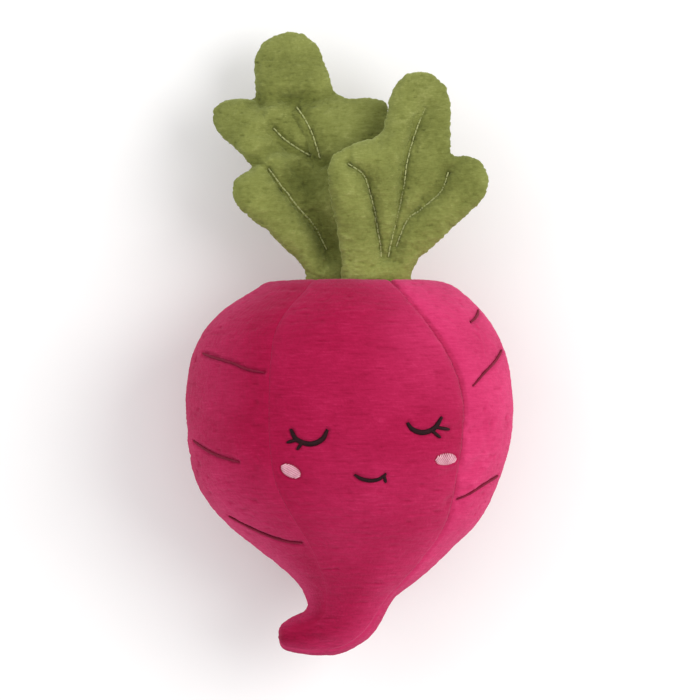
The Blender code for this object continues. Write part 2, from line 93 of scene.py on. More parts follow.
CAGE_STEP = 4.0 * MM
GORE_COLUMNS = 18
FINE = 8  # fine rows or columns for each one of the cage
SKIN_FINE = 2
LINING_STEP = 4  # the lining has every fourth of the fine rows and columns
BODY_FILL = {"shrink": 0.045, "pressure": 300, "stiffness": 40, "frames": 24, "cap": 8.0 * MM}
FOLD_RINGS = 5  # rings of the cage that stay put at the fold under the leaves
TAIL_RINGS = 3  # rings that stay put at the tip of the tail
TAIL_FADING_RINGS = 6  # the relief of the cloth fades out over these rings before them
SEAM_TIGHTNESS = (0.1, 1.0, 1.0, 1.0, 1.0)
SEAM_EASING = 0.85  # the share of their tightness that the seams lose towards the tail
SEAM_EASING_PLACES = (0.45, 0.2)  # where that starts and how far it goes, as shares of the rings
PUCKER_SIZE = 14.0 * MM
PUCKER_SHARE = 0.2
RELIEF_CAP = 2.2 * MM
SPINE_SAMPLES = 800
STATION_SAMPLES = 400

# Settings of Blender's cloth that all the sewn bags have.
CLOTH = {
    "quality": 6,
    "mass": 0.01,
    "air_damping": 2.0,
    "bending_stiffness": 0.2,
    "use_pressure": True,
    "shrink_min": 0.0,
}
SHEAR_SOFTNESS = 3  # cloth is this many times softer to shear than to stretch

# The seeds of the noise that isn't pile.
SEEDS = {"puckers": 3, "folds": 7, "brushing_and_painted_light": 60, "stitches": 80, "filling": 90}

# ---- design: the embroidery

# Each eye is an arc, whose outer end is its first lash, and two more lashes. Points are (x, y).
STROKES = {
    "left_eye_embroidery": (
        (1.0, ((-8.5, -32.8), (-10.5, -36.4), (-15.0, -38.2), (-20.2, -36.5), (-22.4, -32.7))),
        (0.6, ((-20.0, -36.6), (-23.8, -37.6))),
        (0.6, ((-18.0, -37.6), (-20.0, -40.2))),
    ),
    "right_eye_embroidery": (
        (1.0, ((21.8, -30.2), (23.6, -32.6), (27.6, -33.9), (32.0, -32.3), (34.8, -28.2))),
        (0.6, ((32.2, -31.8), (37.6, -32.8))),
        (0.6, ((30.8, -33.0), (34.2, -35.8))),
    ),
    "mouth_embroidery": (
        (0.72, ((1.8, -49.8), (4.4, -51.4), (8.0, -52.1), (11.2, -51.4), (13.6, -49.5))),
        (0.6, ((12.9, -50.1), (13.5, -52.7))),
    ),
}
CHEEKS = {
    "left_cheek_embroidery": ((-22.5, -48.5), -25),
    "right_cheek_embroidery": ((36.4, -44.1), 8),
}
CHEEK_HALF_LENGTH = 4.0 * MM
CHEEK_HALF_WIDTH = 2.3 * MM
CHEEK_SLANT = 50  # degrees between the cheek's length and its stitches
CHEEK_THREAD = 0.27 * MM
CHEEK_PACE = 0.62 * MM

# Dark lines that ring a radish's skin, as (angle round the section, y).
RING_STITCHES = {
    "left_ring_stitch_upper": ((-68, -4.0), (-48, -7.3), (-39, -10.0), (-31.5, -11.2)),
    "left_ring_stitch_middle": ((-73, -37.5), (-56, -42.5), (-43, -45.2)),
    "left_ring_stitch_lower": ((-66, -66.5), (-50, -72.6), (-38, -75.4), (-28, -76.0)),
    "right_ring_stitch_upper": ((78, 12.6), (69, 10.4), (59, 8.0)),
    "right_ring_stitch_middle": ((79, -2.8), (70, -5.6), (57, -11.0), (49, -16.2)),
    "right_ring_stitch_lower": ((78, -51.0), (65, -54.0), (50, -60.2)),
}
RING_HALF_WIDTH = 0.45 * MM
CLOSING_STATIONS = (12.6, 14.6)
CLOSING_STITCHES = 9
CLOSING_HALF_WIDTH = 1.5 * MM

CURVE_STEPS = 6  # steps of a smooth curve between two points of a table
THREAD = 0.19 * MM  # radius of one embroidery thread
THREAD_PACE = 0.34 * MM
CLOSING_THREAD = 1.4 * THREAD
STITCH_SHARES = (-1.0, -0.85, -0.45, 0.0, 0.45, 0.85, 1.0)  # places along a stitch, from hole to hole
STITCH_RISE = 0.10 * MM
STITCH_SINK = 0.45 * MM
CLOSING_RISE = 2 * STITCH_RISE
STRAND_SIDES = 6
STRAND_NARROWING = 0.8
SATIN_SLANT = 0.18
SATIN_NARROWING = 0.5
CLOSING_SEAM = 3
DROP_HEIGHT = 0.3

# Thread presses the pile down this far to each side, by a depth in millimetres. The bank beside it has a
# height in millimetres, and a place and a width in reaches of the thread.
PRESS_REACH = 0.75 * MM
PRESS_DEPTH = 0.5
PRESS_BANK = (0.10, 1.9, 0.6)

# ---- design: the leaves

# Outlines seen from above, clockwise from the right of the base, and stitched veins, as (x, y). A curl is
# ((x, y), rise, width), and a crease is (path, depth, width). At LEAF_REACH from its base a leaf hangs lower
# by its droop.
LEAVES = {
    "large_leaf": {
        "outline": (
            (-1.5, 19.0), (-16.4, 19.0), (-17.2, 27.5), (-21.4, 33.2), (-28.4, 41.0), (-36.0, 46.8),
            (-43.0, 52.4), (-45.2, 58.4), (-44.2, 63.2), (-40.4, 65.8), (-37.8, 67.8), (-42.6, 74.4),
            (-50.6, 81.4), (-53.0, 86.8), (-51.8, 92.0), (-47.4, 94.0), (-37.6, 94.6), (-36.4, 99.4),
            (-36.8, 109.2), (-34.4, 116.6), (-28.4, 119.9), (-21.8, 121.0), (-16.8, 119.6), (-12.8, 115.5),
            (-10.0, 109.4), (-8.0, 102.8), (-5.2, 97.2), (-2.0, 95.2), (8.6, 95.2), (13.8, 93.6),
            (15.2, 88.0), (12.0, 80.0), (6.5, 71.0), (9.5, 66.0), (14.0, 58.0), (13.5, 51.0),
            (7.0, 43.0), (1.0, 34.0), (-1.0, 28.0),
        ),
        "veins": {
            "large_leaf_vein_centre": ((-20.8, 91.6), (-16.9, 85.8), (-13.9, 78.9), (-11.6, 71.2)),
            "large_leaf_vein_upper": ((-29.6, 83.2), (-25.4, 78.9), (-20.0, 75.1), (-15.4, 72.6)),
            "large_leaf_vein_lower": ((-31.6, 67.4), (-26.4, 60.4), (-20.4, 52.8), (-14.2, 45.6),
                                      (-9.0, 36.0)),
        },
        "base_height": -4.7,
        "droop": 20.0,
        "curls": (((-44.0, 58.0), 9.0, 22.0),),
        "creases": (
            (((-37.0, 93.0), (-28.0, 94.4), (-18.0, 93.8), (-7.0, 96.0)), 3.4, 2.8),
            (((-38.0, 69.5), (-30.1, 74.2), (-21.8, 74.6), (-14.7, 72.0), (-9.0, 68.8)), 3.6, 2.8),
            (((-20.5, 64.0), (-15.4, 55.1), (-10.3, 44.8), (-6.4, 35.8)), 5.0, 6.0),
        ),
    },
    "small_leaf": {
        "outline": (
            (21.0, 19.0), (-2.4, 19.0), (-2.6, 28.0), (-4.4, 42.0), (-7.2, 54.0), (-8.4, 63.0),
            (-7.8, 69.6), (-4.2, 73.6), (3.8, 77.4), (10.6, 79.0), (14.0, 84.6), (15.0, 91.4),
            (17.6, 99.2), (21.5, 103.1), (26.6, 104.4), (32.3, 102.9), (36.6, 98.8), (38.4, 92.6),
            (38.7, 78.0), (39.3, 72.2), (44.2, 72.4), (50.3, 69.6), (53.3, 63.8), (52.2, 57.0),
            (48.6, 52.8), (41.1, 45.9), (31.6, 36.8), (24.3, 29.3),
        ),
        "veins": {
            "small_leaf_vein_centre": ((28.9, 90.4), (26.2, 84.2), (22.4, 72.0), (20.4, 60.0), (17.6, 46.0),
                                       (14.6, 33.0)),
            "small_leaf_vein_left": ((-0.8, 68.8), (5.4, 64.2), (8.5, 55.0), (10.6, 43.6), (12.2, 33.0)),
            "small_leaf_vein_right": ((37.7, 65.8), (34.6, 58.2), (27.0, 51.6), (21.6, 47.0), (17.6, 37.0)),
        },
        "base_height": 4.7,
        "droop": 8.0,
        "curls": (((-8.0, 66.0), 9.0, 20.0), ((52.0, 64.0), 4.0, 20.0)),
        "creases": (),
    },
}
LEAF_BASE = 19.0 * MM
LEAF_REACH = 100.0 * MM
DROOP_POWER = 1.6
LEAF_CELL = 2.2 * MM
LEAF_FINE = LEAF_CELL / 4
LEAF_CLEARANCE = 0.6 * LEAF_CELL  # corners of the grid keep this far from the edge and the veins
LEAF_WELD = 0.01 * MM
LEAF_START = 0.5 * MM  # half the thickness before filling, one cell from the edge
LEAF_START_CELLS = 4  # it grows no further after this many cells
LEAF_ROUND = 0.6 * MM  # the plush round the edge adds this much to the outline
LEAF_CLOTH = 1.3 * MM
VEIN_STITCH = 2.3 * MM
VEIN_GAP = 0.3 * MM
VEIN_THREAD = 0.28 * MM
VEIN_SINKS = (0.3 * MM, 1.1 * MM)  # the most that the pile buries a stitch of a plain and of a hidden vein
PLAIN_VEINS = ("large_leaf_vein_centre", "large_leaf_vein_upper")
VEIN_CREASE = (1.8, 2.2)  # depth and width of the groove along each vein, in millimetres
SINK_SIZE = 4.0 * MM
LEAF_FILL = {"shrink": 0.0, "pressure": 150, "stiffness": 15, "frames": 24, "cap": 6.0 * MM}
LEAF_SMOOTHING = 2
LEAF_RIM_REACH = 7.0 * MM  # the filled edge is eased back to the outline over this distance
LEAF_STREAKS = (2.8 * MM, 0.9 * MM, 2.8 * MM)
LEAF_PILE = 1.3
LEAF_SEED = 100
LEAF_FILLING_GAP = 0.35 * MM
LEAF_FILLING_LEAST = 0.12 * MM
LEAF_FILLING_INSET = 0.4  # share of the way from the edge to the next corner

# ---- design: pile and colour

# The pile's relief, from noise of these sizes with weights in millimetres, and each gore's streaks.
PILE_PATCHES = ((13.0 * MM, 0.16), (6.0 * MM, 0.10))
PILE_TUFTS = ((1.7 * MM, 0.6), (0.85 * MM, 0.4))
PILE_LINES = 0.13
PILE_NICKS = 0.9
NICK_START = 0.5  # streaks that are deeper than this become nicks
PILE_FIBRES = (0.05 * MM, 0.10)
STREAK_SIZES = ((5.5, 0.8), (3.0, 1.6), (4.0, 1.2), (4.0, 1.2), (4.5, 1.2))
STREAKS = [(length * MM, width * MM, length * MM) for length, width in STREAK_SIZES]
# How deep each seam is folded in at the crown, the belly and the tail (mm). The pile hides the one at
# the left of the front.
SEAM_DEPTHS = ((0.3, 0.05, 0.1), (1.3, 0.9, 0.1), (0.9, 0.8, 0.5), (0.9, 0.8, 0.5), (0.9, 0.8, 0.5))
SEAM_DEPTH_STEPS = 8
SEAM_WIDTH = 0.9 * MM
SEAM_PACE = 0.8 * MM
FOLD_SIZE = 2.2 * MM
FOLD_SHARE = 0.5
BODY_TUFTING = 0.12
LEAF_TUFTING = 0.28
LINING_DEPTH = 2.1 * MM
FILLING_DEPTH = 3.0 * MM
FILLING_TOP = 11.0 * MM  # the filling starts below the fold under the leaves
FILLING_TAIL_RINGS = 2  # and ends this many rings before the tip of the tail
FILLING_LUMP = 0.5 * MM
FILLING_LUMP_SIZE = 8.0 * MM
NAP_RANGE = 1.3 * MM

PLUSH_STOPS = (0.22, 0.40, 0.56, 0.74)
# Colours from dark to light at PLUSH_STOPS, of pile that lies smooth and of pile that is brushed up. The
# paler set carries the nap's own colour together with painted light and sheen.
MAGENTA = (
    ((0.18, 0.002, 0.018), (0.28, 0.003, 0.035), (0.34, 0.005, 0.048), (0.46, 0.017, 0.086)),
    ((0.40, 0.016, 0.085), (0.55, 0.030, 0.125), (0.65, 0.046, 0.165), (0.78, 0.085, 0.23)),
)
# How much each gore's pile is brushed up and paler at its crown, its belly and its tail, and the share of it
# that its first edge loses. With a minus the edge gains it. This is partly the nap and partly painted light:
# painted light on the right panel, painted shade on the front's left side and a painted sheen along the left
# panel's outer edge.
BRUSHING_AND_PAINTED_LIGHT = (
    (0.50, 0.20, 0.50, 0.85),
    (0.82, 0.82, 0.55, 0.0),
    (0.50, 0.50, 0.45, 0.3),
    (0.35, 0.35, 0.30, 0.3),
    (0.07, 0.055, 0.11, -5.0),
)
BRUSHING_AND_PAINTED_LIGHT_PLACES = (0.12, 0.40, 0.72)  # crown, belly and tail, as shares of the gore's rows
BRUSHING_AND_PAINTED_LIGHT_EDGE = 0.35  # the share of the gore's width where the edge's loss starts to fade
BRUSHING_PATCH = (30 * MM, 18 * MM, 30 * MM)
BRUSHING_PATCHES = 0.16
MAGENTA_STREAKS = (4.5, 0.55, 4.5)
MAGENTA_SHEEN = 0.24
MAGENTA_TINT = (1.0, 0.36, 0.58)
# The leaves' colours in the same way. The darker set also paints shade in the creases, and the paler set
# paints light near the crown.
OLIVE = (
    ((0.055, 0.062, 0.012), (0.100, 0.112, 0.025), (0.140, 0.155, 0.036), (0.22, 0.235, 0.066)),
    ((0.155, 0.170, 0.040), (0.225, 0.246, 0.062), (0.275, 0.298, 0.085), (0.39, 0.41, 0.155)),
)
LEAF_BRUSHING = 0.46
LEAF_PATCH = 9 * MM
LEAF_PATCHES = 0.3
# Painted light near the crown, which lifts the shade that the crown casts on the leaves' bases.
STEM_PAINTED_LIGHT = 0.55
LEAF_SHADE = 9 * MM  # how much deeper a crease is where its painted shade is fully dark
LEAF_STEM = 18 * MM  # painted light over this length, where the leaf comes out of the crown's shade
OLIVE_STREAKS = (1.9, 0.45, 1.9)
OLIVE_SHEEN = 0.40
OLIVE_TINT = (0.85, 0.95, 0.45)

# The plush's light and dark, from noise of these sizes in millimetres and these weights. The nap's weight
# paints shade in the pile's hollows and light on its tips.
PLUSH_FIBRES = (0.45, 0.35, 0.45)
PLUSH_PATCHES = (17, 12, 17)
PLUSH_WEIGHTS = (0.34, 0.20, 0.34, 0.12)  # of the nap, the fibres, the streaks and the patches
PLUSH_ROUGHNESS = 0.92
PLUSH_SHEEN_ROUGHNESS = 0.45
PLUSH_BUMP = 0.25 * MM
PLUSH_BUMP_STRENGTH = 0.8
GLOSS = 0.08  # of everything but thread

# Each thread's dark and light colour, roughness and sheen.
THREADS = {
    "black_thread": ((0.008, 0.0006, 0.002), (0.030, 0.002, 0.006), 0.55, 0.0),
    "pink_thread": ((0.60, 0.21, 0.30), (0.93, 0.56, 0.64), 0.45, 0.1),
    "plum_thread": ((0.15, 0.003, 0.020), (0.25, 0.006, 0.040), 0.6, 0.0),
    "magenta_thread": ((0.26, 0.008, 0.045), (0.46, 0.020, 0.090), 0.5, 0.1),
    "olive_thread": ((0.31, 0.33, 0.12), (0.46, 0.48, 0.22), 0.55, 0.1),
}
THREAD_TWIST = (0.25, 0.25, 0.25)
THREAD_TONE = (2.5, 2.5, 2.5)
THREAD_STOPS = (0.3, 0.7)
THREAD_BUMP = 0.08 * MM
THREAD_GLOSS = 0.2
THREAD_SLOTS = {
    "eye": "black_thread",
    "mouth": "black_thread",
    "cheek": "pink_thread",
    "ring": "plum_thread",
    "closing": "magenta_thread",
}

FILLING_CLUMPS = (9, 9, 9)
FILLING_STRANDS = (0.4, 3.0, 0.4)
FILLING_STOPS = ((0.25, (0.62, 0.61, 0.58)), (0.7, (0.84, 0.83, 0.80)))
FILLING_SHEEN = 0.3
FILLING_BUMP = 1.5 * MM

# ---- design: stage, light and camera

FLOOR_REACH = 4.0
FLOOR_SIDES = 64
FLOOR_DROP = 0.2 * MM
FLOOR_GRAIN = (40, 40, 40)
FLOOR_ROUGHNESS = 0.9
FLOOR_COLOURS = ((0.88, 0.88, 0.88), (0.91, 0.91, 0.91))
WORLD_COLOUR = (1.0, 1.0, 1.0)
WORLD_STRENGTH = 0.86
LIGHTS = {
    "key": {"place": (0.85, 0.20, 1.1), "size": 1.0, "power": 10, "colour": (1.0, 0.99, 0.97)},
    "fill": {"place": (-0.8, 0.3, 0.9), "size": 1.0, "power": 2.0, "colour": (1.0, 1.0, 1.0)},
}
SENSOR = 36.0
CAMERA_DISTANCE = 2.5
VIEW_WIDTH = 0.2695
VIEW_CENTRE_Y = -2.7 * MM

# ---- small mathematics


def smooth_step(value):
    value = np.clip(value, 0, 1)
    return value * value * (3 - 2 * value)


def bell(share):
    """1 where share is 0, and close to 0 past 2."""
    return np.exp(-(share**2))


def unit(vectors):
    return vectors / np.maximum(np.linalg.norm(vectors, axis=-1, keepdims=True), 1e-12)


def curve_through(before, start, end, after, share):
    """Catmull-Rom between start and end."""
    return 0.5 * (
        2 * start
        + (end - before) * share
        + (2 * before - 5 * start + 4 * end - after) * share**2
        + (3 * start - before - 3 * end + after) * share**3
    )


def refine(points, factor, axis=0, closed=False):
    """Puts factor - 1 rows on smooth curves between each two rows of points."""
    rows = np.moveaxis(np.asarray(points, float), axis, 0)
    if closed:
        rows = np.concatenate([rows[-1:], rows, rows[:2]])
    else:
        rows = np.concatenate([2 * rows[:1] - rows[1:2], rows, 2 * rows[-1:] - rows[-2:-1]])
    share = np.arange(factor).reshape(-1, *[1] * (rows.ndim - 1)) / factor
    spans = [curve_through(*rows[k : k + 4, None], share) for k in range(len(rows) - 3)]
    fine = np.concatenate(spans if closed else [*spans, rows[-2:-1]])
    return np.moveaxis(fine, 0, axis)


def curve(points, closed=False):
    """A smooth curve in metres, through points in millimetres."""
    return refine(np.array(points) * MM, CURVE_STEPS, closed=closed)


def lengths_along(path):
    """How long a path is up to each of its points."""
    return np.concatenate([[0], np.cumsum(np.linalg.norm(np.diff(path, axis=0), axis=1))])


def resample(path, step):
    """Points along a path, at equal distances of about step."""
    runs = lengths_along(path)
    places = np.linspace(0, runs[-1], max(2, round(runs[-1] / step) + 1))
    return np.stack([np.interp(places, runs, column) for column in path.T], axis=1)


def random_cells(cells, seed):
    """A repeatable number from 0 to 1 for each whole-numbered cell."""
    mixed = cells @ np.array([374761393, 668265263, 1440662683]) + seed * 1274126177
    mixed = (mixed ^ (mixed >> 13)) * 1274126177
    mixed = (mixed ^ (mixed >> 15)) * 668265263
    return ((mixed ^ (mixed >> 16)) & 0xFFFFFF) / 0xFFFFFF


def noise(points, size, seed):
    """Smooth noise from -1 to 1, whose lumps are about size across. size is one length or three."""
    scaled = points / np.asarray(size)
    cell = np.floor(scaled).astype(np.int64)
    part = smooth_step(scaled - cell)
    total = 0
    for corner in itertools.product((0, 1), repeat=3):
        weight = np.prod(np.where(corner, part, 1 - part), axis=-1)
        total = total + weight * random_cells(cell + np.array(corner), seed)
    return 2 * total - 1


def nearest_places(points, places):
    """(number of, distance to) the nearest of the places, for each point."""
    tree = KDTree(len(places))
    for k, place in enumerate(places):
        tree.insert(place, k)
    tree.balance()
    found = np.array([tree.find(point)[1:] for point in points.reshape(-1, 3)])
    return found[:, 0].astype(int).reshape(points.shape[:-1]), found[:, 1].reshape(points.shape[:-1])


def distances(points, places):
    return nearest_places(points, places)[1]


# ---- cloth


def new_object(name, data):
    made = bpy.data.objects.new(name, data)
    bpy.context.scene.collection.objects.link(made)
    return made


def new_piece(name, vertices, faces):
    mesh = bpy.data.meshes.new(name)
    mesh.from_pydata(np.asarray(vertices).tolist(), [], faces)
    mesh.update()
    return new_object(name, mesh)


def weigh(piece, name, weights):
    """A vertex group with the weights that are above zero."""
    group = piece.vertex_groups.new(name=name)
    for k in np.nonzero(weights)[0]:
        group.add([int(k)], float(weights[k]), "REPLACE")
    return group.name


def fill_with_fibre(vertices, faces, pinned, drawn, shrink, pressure, stiffness, frames, cap):
    """Where the corners of a sewn bag go when it is filled. Pinned corners stay, drawn gives each corner's
    share of the shrink that its stitches cause, and no corner moves further than cap."""
    bag = new_piece("bag", vertices, faces)
    cloth = bag.modifiers.new("cloth", "CLOTH")
    settings = cloth.settings
    for key, value in CLOTH.items():
        setattr(settings, key, value)
    settings.tension_stiffness = stiffness
    settings.compression_stiffness = stiffness
    settings.shear_stiffness = stiffness / SHEAR_SOFTNESS
    settings.uniform_pressure_force = pressure
    settings.effector_weights.gravity = 0
    settings.vertex_group_mass = weigh(bag, "pinned", pinned)
    settings.vertex_group_shrink = weigh(bag, "drawn", drawn)
    settings.shrink_max = shrink
    for number in range(1, frames + 1):
        bpy.context.scene.frame_set(number)
    filled = np.empty(len(vertices) * 3, np.float32)
    shown = bag.evaluated_get(bpy.context.evaluated_depsgraph_get())
    shown.data.vertices.foreach_get("co", filled)
    bpy.context.scene.frame_set(1)
    bpy.data.objects.remove(bag)
    change = filled.reshape(-1, 3) - vertices
    length = np.linalg.norm(change, axis=1, keepdims=True)
    return vertices + change * np.minimum(1, cap / np.maximum(length, 1e-12))


# ---- the body's shape


def section(station):
    """(centre, side direction, half width, half depth) at places along the spine."""
    rows = np.array(SPINE)
    station = np.clip(station, 0, len(rows) - 1)
    index = np.minimum(station.astype(int), len(rows) - 2)
    near = [rows[np.clip(index + k, 0, len(rows) - 1)] for k in (-1, 0, 1, 2)]
    x, y, heading, half_width, half_depth = curve_through(*near, (station - index)[:, None]).T
    drop = TAIL_DROP * smooth_step((station - NECK_STATION) / (len(rows) - 1 - NECK_STATION))
    centre = np.stack([x * MM, y * MM, AXIS_HEIGHT - drop], axis=1)
    turn = np.radians(heading)
    side = np.stack([-np.sin(turn), np.cos(turn), 0 * turn], axis=1)
    return centre, side, half_width * MM, half_depth * MM


def round_point(station, angle):
    """Points on the outside of the body, before its back is flattened."""
    station = np.atleast_1d(np.asarray(station, float))
    centre, side, half_width, half_depth = section(station)
    turn = np.radians(angle)
    across = side * (half_width * np.sin(turn))[:, None]
    return centre + across + UP * (half_depth * np.cos(turn))[:, None]


def seam_angle(seam, station):
    crown, belly, tail = SEAMS[seam % len(SEAMS)]
    upper = smooth_step((station - CROWN_STATION) / (BELLY_STATION - CROWN_STATION))
    lower = smooth_step((station - BELLY_STATION) / (NECK_STATION - BELLY_STATION))
    return 360 * (seam // len(SEAMS)) + crown + (belly - crown) * upper + (tail - belly) * lower


def station_at(y):
    """The place along the spine, between the crown and the tail, where the section lies at y."""
    stations = np.linspace(CROWN_STATION, NECK_STATION + 1, STATION_SAMPLES)
    return np.interp(-np.asarray(y), -section(stations)[0][:, 1], stations)


def grid_faces(rows, columns, closed=False):
    """Quads between neighbouring points of a grid."""
    faces = []
    for row in range(rows - 1):
        here, below = row * columns, (row + 1) * columns
        for column in range(columns if closed else columns - 1):
            aside = (column + 1) % columns
            faces.append((here + column, below + column, below + aside, here + aside))
    return faces


def tube_faces(rows, columns):
    """The quads of a grid that closes on itself, and a face over each end."""
    ends = [tuple(range(columns)), tuple(rows * columns - 1 - k for k in range(columns))]
    return grid_faces(rows, columns, True) + ends


def round_normals(grid):
    """The outward normals of a grid that goes all the way round the body."""
    wrapped = np.concatenate([grid[:, -1:], grid, grid[:, :1]], axis=1)
    return unit(np.cross(np.gradient(wrapped, axis=0), np.gradient(wrapped, axis=1)))[:, 1:-1]


def body_cage():
    """Points (ring, column) round the body. Each gore has its first column on a seam."""
    dense = np.linspace(0, len(SPINE) - 1, SPINE_SAMPLES)
    runs = lengths_along((round_point(dense, 90) + round_point(dense, 0)) / 2)
    stations = np.interp(np.linspace(0, runs[-1], round(runs[-1] / CAGE_STEP) + 1), runs, dense)
    columns = []
    for gore in range(len(GORES)):
        first, last = seam_angle(gore, stations), seam_angle(gore + 1, stations)
        shares = np.arange(GORE_COLUMNS) / GORE_COLUMNS
        columns += [round_point(stations, first + (last - first) * share) for share in shares]
    return np.stack(columns, axis=1)


def simulate_body(design):
    """The cage with the relief that sewing and filling give its cloth gores: drawn-in seams, fuller
    panels and puckers. Each ring keeps its mean size, so the toy keeps its design's shape."""
    rings, columns = design.shape[:2]
    outward = round_normals(design)
    pinned = np.zeros((rings, columns))
    pinned[:FOLD_RINGS] = 1
    pinned[-TAIL_RINGS:] = 1
    drawn = np.zeros((rings, columns))
    puckers = noise(design[:, ::GORE_COLUMNS], PUCKER_SIZE, SEEDS["puckers"])
    start, length = (share * rings for share in SEAM_EASING_PLACES)
    fading = 1 - SEAM_EASING * smooth_step((np.arange(rings) - start) / length)
    tightness = (1 - PUCKER_SHARE + PUCKER_SHARE * puckers) * fading[:, None]
    drawn[:, ::GORE_COLUMNS] = tightness * SEAM_TIGHTNESS
    faces = grid_faces(rings, columns, True)
    filled = fill_with_fibre(design.reshape(-1, 3), faces, pinned.ravel(), drawn.ravel(), **BODY_FILL)
    relief = np.sum((filled.reshape(design.shape) - design) * outward, axis=2)
    relief -= relief.mean(axis=1, keepdims=True)
    relief[:FOLD_RINGS] = 0
    relief *= smooth_step((rings - TAIL_RINGS - np.arange(rings)) / TAIL_FADING_RINGS)[:, None]
    return design + outward * np.clip(relief, -RELIEF_CAP, RELIEF_CAP)[..., None]


def fine_body(cage, factor):
    """(points, outward normals) round the whole body, with factor times as many rows and columns."""
    gores = []
    for gore in range(len(GORES)):
        columns = np.arange(gore * GORE_COLUMNS, (gore + 1) * GORE_COLUMNS + 1) % cage.shape[1]
        gores.append(refine(refine(cage[:, columns], factor), factor, axis=1)[:, :-1])
    grid = np.concatenate(gores, axis=1)
    return grid, round_normals(grid)


def flat_on_floor(points, height=0.0):
    """The points, with those below a height pressed up to it."""
    pressed = points.copy()
    pressed[..., 2] = np.maximum(pressed[..., 2], height)
    return pressed


def body_skin(cage):
    """The whole body's surface without its pile, to place thread on."""
    grid = flat_on_floor(fine_body(cage, SKIN_FINE)[0])
    return BVHTree.FromPolygons(grid.reshape(-1, 3).tolist(), grid_faces(*grid.shape[:2], True))


# ---- pile


def pile_height(points, streaks, tufting, seed):
    """How high the pile stands at each point: crushed patches, streaks, tufts and single fibres."""
    patches = sum(noise(points, size, seed + k) * part for k, (size, part) in enumerate(PILE_PATCHES))
    lines = noise(points, streaks, seed + 2)
    tufts = sum(noise(points, size, seed + 3 + k) * part for k, (size, part) in enumerate(PILE_TUFTS))
    fibre_size, fibre_height = PILE_FIBRES
    cells = np.floor(points.reshape(-1, 3) / fibre_size).astype(np.int64)
    fibres = 2 * random_cells(cells, seed + 5).reshape(points.shape[:-1]) - 1
    nicks = np.maximum(0, noise(points, streaks, seed + 6) - NICK_START)
    return (patches + PILE_LINES * lines - PILE_NICKS * nicks + tufting * tufts + fibre_height * fibres) * MM


def pressed_by_thread(away):
    """How much thread at a distance presses the pile down, with a slight bank beside it."""
    share = away / PRESS_REACH
    height, place, width = PRESS_BANK
    return (PRESS_DEPTH * np.exp(-(share**4)) - height * bell((share - place) / width)) * MM


def store_share(mesh, name, shares):
    """Keeps a share from 0 to 1 for each corner, for the plush material. Past the last share it is 0."""
    kept = np.zeros(len(mesh.vertices), np.float32)
    kept[: shares.size] = np.clip(shares, 0, 1).ravel()
    mesh.attributes.new(name, "FLOAT", "POINT").data.foreach_set("value", kept)


def brushing_and_painted_light(gore, grid):
    """Where a gore's pile looks paler, partly from its nap and partly from painted light and sheen: more
    towards one edge, and in patches of the pile's own tone.
    """
    rows, columns = grid.shape[:2]
    across = np.linspace(0, 1, columns)[None, :]
    down = np.linspace(0, 1, rows)[:, None]
    *shares, lean = BRUSHING_AND_PAINTED_LIGHT[gore]
    share = np.interp(down, BRUSHING_AND_PAINTED_LIGHT_PLACES, shares)
    # the front's first edge loses painted light, and the left panel's first edge gains a painted sheen
    share = share * (1 - lean + lean * smooth_step((across - BRUSHING_AND_PAINTED_LIGHT_EDGE) / (1 - BRUSHING_AND_PAINTED_LIGHT_EDGE)))
    return share + BRUSHING_PATCHES * noise(grid, BRUSHING_PATCH, SEEDS["brushing_and_painted_light"] + gore)


def rim_faces(outer, inner):
    """Faces between the corners of a fine edge and those of a coarse one."""
    return [
        (*outer[k * LINING_STEP : (k + 1) * LINING_STEP + 1], inner[k + 1], inner[k])
        for k in range(len(inner) - 1)
    ]


def make_gore(fine, gore, thread_places):
    """One gore: its fine pile outside, a plain lining inside, and a rim that joins them at the seams."""
    width = GORE_COLUMNS * FINE
    own = np.arange(gore * width, (gore + 1) * width + 1) % fine[0].shape[1]
    grid, normals = (part[:, own] for part in fine)
    rows, columns = grid.shape[:2]
    nap = pile_height(grid, STREAKS[gore], BODY_TUFTING, 10 * gore)
    fold = 0
    for seam, edge in ((gore, 0), ((gore + 1) % len(GORES), -1)):
        near = bell(distances(grid, resample(grid[:, edge], SEAM_PACE)) / SEAM_WIDTH)
        nap = nap * (1 - near)
        depth = refine(np.array(SEAM_DEPTHS[seam])[:, None], SEAM_DEPTH_STEPS)[:, 0]
        depth = np.interp(np.linspace(0, 1, rows), np.linspace(0, 1, len(depth)), depth)[:, None]
        fold = fold + near * depth * (1 + FOLD_SHARE * noise(grid, FOLD_SIZE, SEEDS["folds"])) * MM
    pressed = pressed_by_thread(distances(grid, thread_places))
    outside = flat_on_floor(grid + normals * (nap - fold - pressed)[..., None])
    lining = slice(None, None, LINING_STEP)
    inside = flat_on_floor((grid - normals * LINING_DEPTH)[lining, lining], LINING_DEPTH)
    start = rows * columns
    outer = np.arange(start).reshape(rows, columns)
    inner = start + np.arange(inside[..., 0].size).reshape(inside.shape[:2])
    faces = grid_faces(rows, columns)
    faces += [tuple(start + k for k in reversed(face)) for face in grid_faces(*inner.shape)]
    smooth = len(faces)
    for edge, turn in ((np.s_[0], 1), (np.s_[-1], -1), (np.s_[:, 0], -1), (np.s_[:, -1], 1)):
        faces += [face[::turn] for face in rim_faces(outer[edge].tolist(), inner[edge].tolist())]
    vertices = np.concatenate([outside.reshape(-1, 3), inside.reshape(-1, 3)])
    piece = new_piece(f"{GORES[gore]}_plush", vertices, faces)
    piece.data.polygons.foreach_set("use_smooth", np.arange(len(faces)) < smooth)
    # the pile's height, which the material turns into painted shade in its hollows and painted light on its
    # tips
    store_share(piece.data, "nap", nap / NAP_RANGE + 0.5)
    # paler pile: partly its nap, partly painted light and painted sheen
    store_share(piece.data, "brushed", brushing_and_painted_light(gore, grid))
    return piece


